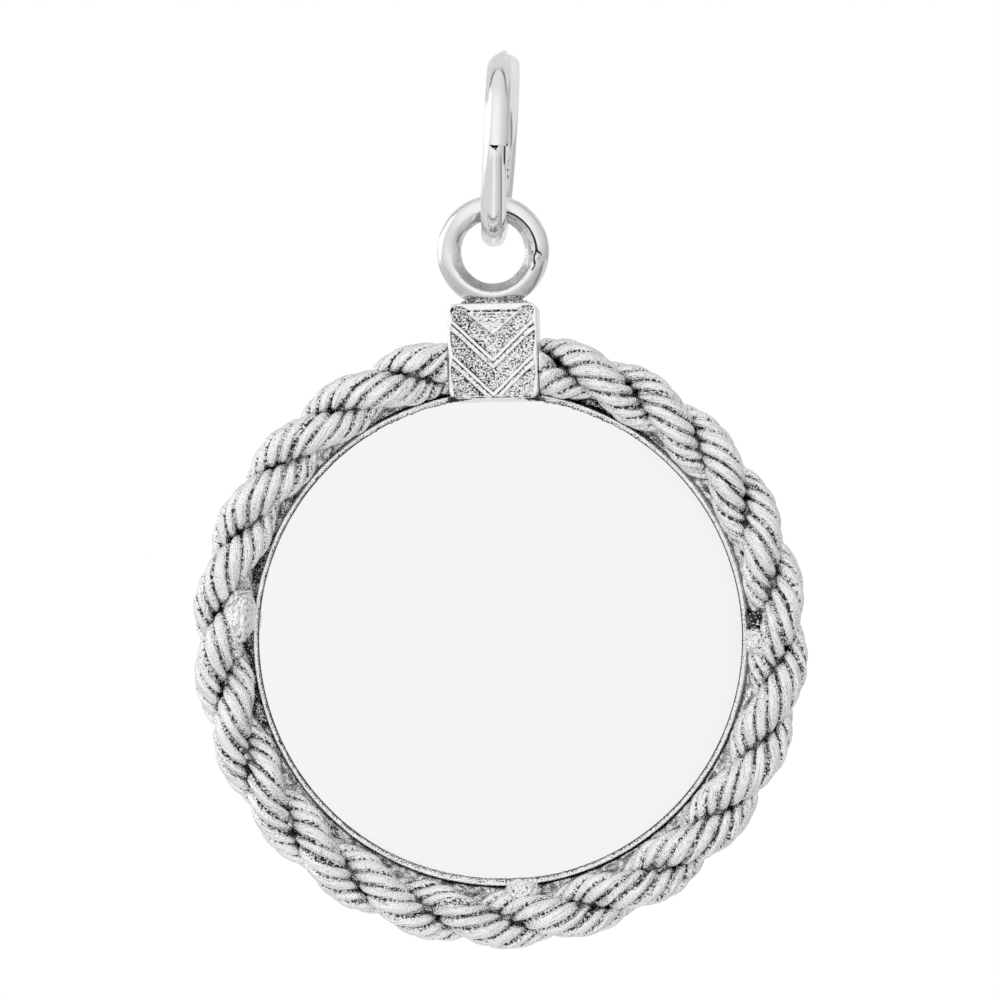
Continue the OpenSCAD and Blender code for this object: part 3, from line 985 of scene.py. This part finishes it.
def makeSolder():
    for name, degrees, out, depth, sizes, dirtAndShade, specks, seed in solder:
        t = radians(degrees)
        along, outward = np.array([cos(t), 0, -sin(t)]), np.array([sin(t), 0, cos(t)])
        rows = lumpRows((1, 1, 1), seed, rough=0.2, count=72, spots=108)
        place = (rows[..., 0:1] * sizes[0] * along + rows[..., 2:3] * sizes[1] * outward
                 + rows[..., 1:2] * np.array([0, sizes[2], 0]))
        place = place + outward * out + np.array([middleX, depth, discZ])
        hollow = dirtAndShade + specks * smooth(noiseAt(place, 0.1, seed + 0.3), 0.2, 0.5)
        mesh = skinMesh(name, place, hollow=hollow)
        addPiece(name, mesh, "castSilver", "pendant", "setting")


def makeSeat():
    rows = lumpRows(seat["half"], 35, rough=0.1, count=60, spots=160)
    grain = noiseAt(rows, seat["grainSize"], seed=36)
    rows[..., 2] += grain * seat["tallGrain"]
    rows[..., 1] += noiseAt(rows, seat["grainSize"], seed=37) * seat["deepGrain"]
    rows += (middleX, -seat["ahead"], tabTop + seat["above"])
    mesh = skinMesh("solderSeat", rows, hollow=np.clip(0.55 - 1.2 * grain, 0, 1.2))
    addPiece("solderSeat", mesh, "castSilver", "pendant", "setting")


makeSolder()
makeSeat()


# disc: plain and polished

disc = {
    "radius": discRadius + 0.02,
    "thickness": 0.8,
    "edge": 0.02,
    "around": 720,
}


def makeDisc():
    back = discFace + disc["thickness"]
    profile = [(r, discFace) for r in (0.001, 3, 6, 8, 9)]
    profile += roundRim(disc["radius"], discFace, back, disc["edge"], (0, 15, 30, 45, 60, 75, 90))
    profile += [(r, back) for r in (9, 6, 3, 0.001)]
    r, y = np.array(profile).T[..., None]
    t = np.linspace(0, 2 * pi, disc["around"], endpoint=False)[None, :]
    rows = lathe(r, y, t) + (middleX, 0, discZ)
    mesh = skinMesh("polishedDisc", rows, caps=True)
    addPiece("polishedDisc", mesh, "mirrorSilver", "pendant", "disc")


makeDisc()


# rope: two strands of five wires, laid round the disc
# the route is the CAD's own rule, with round wires, rubbed crests, and grooves dark with dirt and painted
# shade

rope = {
    "outside": 24.16,
    "rise": -0.05,
    "gap": 0.04,  # between the strands
    "buttGap": 1.78,  # from the tab's middle to the ends
    "lengths": {"Rope Depth": -0.42, "Strand Lay": 0.6, "Strand Flat": 0.12, "Wire Radius": 0.23,
                "Lumps": 0.06, "Grain": 0.012},
    "angles": {"First Lobe": 15.1, "Drift": 1.2, "Butt Fade": 8.0},
    "numbers": {"Rope Turns": 11.0, "Wire Turns": 2.9, "Strand Press": 1.34, "Inner Press": 0.14,
                "Wander": 0.8, "Streak Length": 5.0, "Wires": 5, "Rings": 760, "Spots": 80},
    "lumpRate": 9.0,  # how often a wire's height changes along the rope
    "lumpStep": 3.7,  # and from wire to wire
    "wanderRate": 7.0,  # how often it strays sideways
    "wanderScale": 1.2,
    "grainSize": 0.12,
    # the crest of a wire is rubbed smooth, with painted shade from it down to its edge, dirt and painted
    # shade in the groove there, and painted shade where the strands meet
    "flank": (0.2, 0.95, -0.2, 0.34),
    "groove": (0.72, 0.97),
    "grooveDirtAndShade": (0.38, 0.62, 0.1, 0.75),
    "cleft": (-0.4, -0.9),
    "cleftShade": 0.85,
}
strandLay = rope["lengths"]["Strand Lay"]
strandRadius = strandLay - rope["gap"] / 2
ropeRadius = rope["outside"] / 2 - strandLay - strandRadius

strandInputs = {
    "Middle": (middleX * mm, 0.0, (discZ + rope["rise"]) * mm),
    "Rope Radius": ropeRadius * mm,
    "Strand Radius": strandRadius * mm,
    "Butt Angle": asin(rope["buttGap"] / ropeRadius),
    **{name: length * mm for name, length in rope["lengths"].items()},
    **{name: radians(angle) for name, angle in rope["angles"].items()},
    **rope["numbers"],
    "Phase": 0.0,
    "Seed": 0.0,
    "Silver": materials["ropeSilver"],
}
socketKinds = {
    float: "NodeSocketFloat",
    int: "NodeSocketInt",
    tuple: "NodeSocketVector",
    bpy.types.Material: "NodeSocketMaterial",
}


def strandTree():
    tree = bpy.data.node_groups.new("twistedStrand", "GeometryNodeTree")
    tree.interface.new_socket(name="Geometry", in_out="OUTPUT", socket_type="NodeSocketGeometry")
    for name, value in strandInputs.items():
        tree.interface.new_socket(name=name, in_out="INPUT", socket_type=socketKinds[type(value)])
    given = addNode(tree, "NodeGroupInput").outputs
    c, v = partial(calc, tree), partial(vec, tree)
    plus, minus, times, over = (partial(c, name) for name in ("ADD", "SUBTRACT", "MULTIPLY", "DIVIDE"))
    move, scale = partial(v, "ADD"), partial(v, "SCALE")

    # a sheet of points: along the strand in X, round it in Y
    lastRow = plus(given["Rings"], 1.0)
    sheet = {"Size X": 1.0, "Size Y": 1.0, "Vertices X": plus(given["Rings"], 2.0),
             "Vertices Y": plus(given["Spots"], 1.0)}
    sheet = addNode(tree, "GeometryNodeMeshGrid", sheet)
    flat = splitXYZ(tree, addNode(tree, "GeometryNodeInputPosition").outputs[0])
    row = c("ROUND", times(plus(flat["X"], 0.5), lastRow))
    roundShare = plus(flat["Y"], 0.5)
    # the first and last rows close the ends
    opened = times(c("MINIMUM", row, 1.0), c("MINIMUM", minus(lastRow, row), 1.0))
    share = over(minus(row, 1.0), minus(given["Rings"], 1.0))
    share = c("MINIMUM", c("MAXIMUM", share, 0.0), 1.0)
    t = plus(given["Butt Angle"], times(share, minus(2 * pi, times(given["Butt Angle"], 2.0))))
    sinT, cosT = c("SINE", t), c("COSINE", t)
    # the strand's middle, the way it runs and its two sides
    turn = minus(plus(t, times(given["Drift"], sinT)), given["First Lobe"])
    turn = plus(times(turn, given["Rope Turns"]), given["Phase"])
    speed = times(given["Rope Turns"], plus(1.0, times(given["Drift"], cosT)))
    outward = joinXYZ(tree, x=sinT, z=cosT)
    along = joinXYZ(tree, x=cosT, z=times(sinT, -1.0))
    front = (0.0, -1.0, 0.0)
    sinS, cosS = c("SINE", turn), c("COSINE", turn)
    side = move(scale(outward, cosS), scale(front, sinS))
    sideWay = v("SUBTRACT", scale(front, cosS), scale(outward, sinS))
    sideWay = move(scale(sideWay, speed), scale(along, cosS))
    middle = move(scale(outward, given["Rope Radius"]), scale(side, given["Strand Lay"]))
    middle = move(middle, scale(front, times(given["Rope Depth"], -1.0)))
    way = v("NORMALIZE", move(scale(along, given["Rope Radius"]), scale(sideWay, given["Strand Lay"])))
    press = plus(given["Strand Press"], times(given["Inner Press"], c("MINIMUM", cosS, 0.0)))
    crossSide = scale(v("CROSS_PRODUCT", way, side), press)
    # which wire, and the angle from its crown
    ringAngle = times(roundShare, 2 * pi)
    ringX, ringY = c("COSINE", ringAngle), c("SINE", ringAngle)
    stray = joinXYZ(tree, ringX, ringY, c("MULTIPLY_ADD", t, rope["wanderRate"], given["Seed"]))
    stray = minus(noiseNode(tree, stray, rope["wanderScale"], 1.0), 0.5)
    wirePlace = c("MULTIPLY_ADD", stray, given["Wander"], times(roundShare, given["Wires"]))
    wire = c("ROUND", wirePlace)
    pitch = over(2 * pi, given["Wires"])
    off = times(minus(wirePlace, wire), pitch)
    wire = c("MODULO", wire, given["Wires"])
    across = minus(ringAngle, times(given["Wire Turns"], turn))
    sinAcross, cosAcross = c("SINE", across), c("COSINE", across)
    # scalloped skin of round wires
    core = minus(given["Strand Radius"], given["Wire Radius"])
    dip = times(core, c("SINE", off))
    dip = minus(times(given["Wire Radius"], given["Wire Radius"]), times(dip, dip))
    skin = plus(times(core, c("COSINE", off)), c("SQRT", c("MAXIMUM", dip, 0.0)))
    # each wire lies a little higher or lower than its neighbours
    own = joinXYZ(tree, times(t, rope["lumpRate"]), times(wire, rope["lumpStep"]), given["Seed"])
    sway = noiseNode(tree, own, 1.0, 1.0)
    skin = plus(skin, times(minus(sway, 0.5), given["Lumps"]))
    arm = move(scale(side, cosAcross), scale(crossSide, sinAcross))
    pressed = times(given["Strand Flat"], times(sinAcross, sinAcross))
    point = move(scale(arm, skin), scale(side, times(pressed, -1.0)))
    point = move(middle, scale(point, opened))
    # beside the tab the rings turn parallel to its side
    fromEnd = minus(c("MINIMUM", t, minus(2 * pi, t)), given["Butt Angle"])
    fade = c("MAXIMUM", minus(1.0, over(fromEnd, given["Butt Fade"])), 0.0)
    slide = minus(times(given["Rope Radius"], sinT), splitXYZ(tree, point)["X"])
    slide = times(over(slide, splitXYZ(tree, way)["X"]), fade)
    point = move(point, scale(way, slide))
    # grain of the cast skin
    grain = minus(noiseNode(tree, point, 1 / (rope["grainSize"] * mm)), 0.5)
    point = move(point, scale(arm, times(times(grain, given["Grain"]), opened)))
    point = move(point, given["Middle"])
    # painted shade down each wire's flank, dirt and painted shade in the grooves between wires, and painted
    # shade in the cleft between the strands
    fromCrest = over(c("ABSOLUTE", off), times(pitch, 0.5))
    groove = times(ramp(tree, fromCrest, *rope["groove"]), ramp(tree, sway, *rope["grooveDirtAndShade"]))
    cleft = times(ramp(tree, cosAcross, *rope["cleft"]), rope["cleftShade"])
    hollow = c("MAXIMUM", plus(ramp(tree, fromCrest, *rope["flank"]), groove), cleft)
    # a place on the unrolled strand, squeezed along it, for the drawing marks
    length = over(times(t, given["Rope Radius"]), given["Streak Length"])
    lay = move(scale(joinXYZ(tree, ringX, ringY), given["Strand Radius"]), joinXYZ(tree, z=length))
    # both are kept before the points move
    geometry = sheet.outputs["Mesh"]
    for name, kind, value in (("hollow", "FLOAT", hollow), ("lay", "FLOAT_VECTOR", lay)):
        inputs = {"Geometry": geometry, "Name": name, "Value": value}
        geometry = addNode(tree, "GeometryNodeStoreNamedAttribute", inputs, data_type=kind).outputs[0]
    for kind, inputs in (("GeometryNodeSetPosition", {"Position": point}),
                         ("GeometryNodeMergeByDistance", {"Distance": 1e-7}),
                         ("GeometryNodeSetShadeSmooth", {}),
                         ("GeometryNodeRealizeInstances", {}),
                         ("GeometryNodeSetMaterial", {"Material": given["Silver"]}),
                         ("NodeGroupOutput", {})):
        step = addNode(tree, kind, {0: geometry, **inputs})
        geometry = step.outputs[0] if step.outputs else None
    return tree


def makeStrand(tree, name, phase, seed, node):
    values = {**strandInputs, "Phase": phase, "Seed": seed}
    holder = bpy.data.objects.new("strandPath", bpy.data.meshes.new("strandPath"))
    bpy.context.scene.collection.objects.link(holder)
    modifier = holder.modifiers.new("twistedStrand", "NODES")
    modifier.node_group = tree
    for socket in tree.interface.items_tree:
        if socket.item_type == "SOCKET" and socket.in_out == "INPUT":
            modifier[socket.identifier] = values[socket.name]
    graph = bpy.context.evaluated_depsgraph_get()
    mesh = bpy.data.meshes.new_from_object(holder.evaluated_get(graph), depsgraph=graph)
    holder.modifiers.remove(modifier)
    bpy.data.objects.remove(holder)
    mesh.name = name
    addPiece(name, mesh, "ropeSilver", "pendant", node)


strandMaker = strandTree()
makeStrand(strandMaker, "ropeStrandOne", 0.0, 1.0, "rope_strand_1")
makeStrand(strandMaker, "ropeStrandTwo", pi, 2.0, "rope_strand_2")
print("rope laid")
